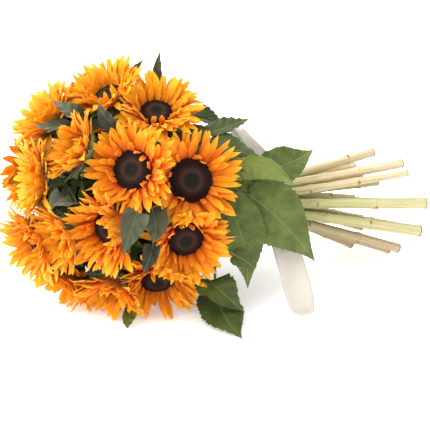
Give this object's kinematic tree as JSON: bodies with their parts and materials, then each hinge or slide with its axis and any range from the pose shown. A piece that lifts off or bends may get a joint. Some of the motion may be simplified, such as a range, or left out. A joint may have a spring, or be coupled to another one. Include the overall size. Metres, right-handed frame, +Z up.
{
  "type": "bunch of sunflowers",
  "caption": "Hand-tied round bunch of cut sunflowers with leafy stems fanning out past a ribbon, lying on its side to decorate a table or shop display.",
  "frame": {"origin": "on the surface that the bunch lies on, in the middle of the flat spot of the lowest seed disc", "axes": "+X from the ball of heads along the stems towards their cut ends, +Z up, -Y towards the viewer of the picture"},
  "size_m": [0.5614, 0.3664, 0.3091],
  "materials": {
    "leafy_stem": "pale green ribbed stems, leaves with pale veins",
    "seed_disc": "dark brown, matt and grainy",
    "petals": "golden orange, soft sheen, ribbed lengthwise",
    "ribbon": "cream, sheer, faint sheen"
  },
  "bodies": {
    "root": {"stem_01": "leafy_stem", "stem_02": "leafy_stem", "stem_03": "leafy_stem", "stem_04": "leafy_stem", "stem_05": "leafy_stem", "stem_06": "leafy_stem", "stem_07": "leafy_stem", "stem_08": "leafy_stem", "stem_09": "leafy_stem", "stem_10": "leafy_stem", "stem_11": "leafy_stem", "stem_12": "leafy_stem", "stem_13": "leafy_stem", "stem_14": "leafy_stem", "stem_15": "leafy_stem", "stem_16": "leafy_stem", "stem_17": "leafy_stem", "stem_18": "leafy_stem", "stem_19": "leafy_stem", "disc_01": "seed_disc", "disc_02": "seed_disc", "disc_03": "seed_disc", "disc_04": "seed_disc", "disc_05": "seed_disc", "disc_06": "seed_disc", "disc_07": "seed_disc", "disc_08": "seed_disc", "disc_09": "seed_disc", "disc_10": "seed_disc", "disc_11": "seed_disc", "disc_12": "seed_disc", "disc_13": "seed_disc", "disc_14": "seed_disc", "disc_15": "seed_disc", "disc_16": "seed_disc", "disc_17": "seed_disc", "disc_18": "seed_disc", "disc_19": "seed_disc", "petals_01": "petals", "petals_02": "petals", "petals_03": "petals", "petals_04": "petals", "petals_05": "petals", "petals_06": "petals", "petals_07": "petals", "petals_08": "petals", "petals_09": "petals", "petals_10": "petals", "petals_11": "petals", "petals_12": "petals", "petals_13": "petals", "petals_14": "petals", "petals_15": "petals", "petals_16": "petals", "petals_17": "petals", "petals_18": "petals", "petals_19": "petals", "ribbon_band": "ribbon", "ribbon_bow": "ribbon"}
  },
  "joints": []
}
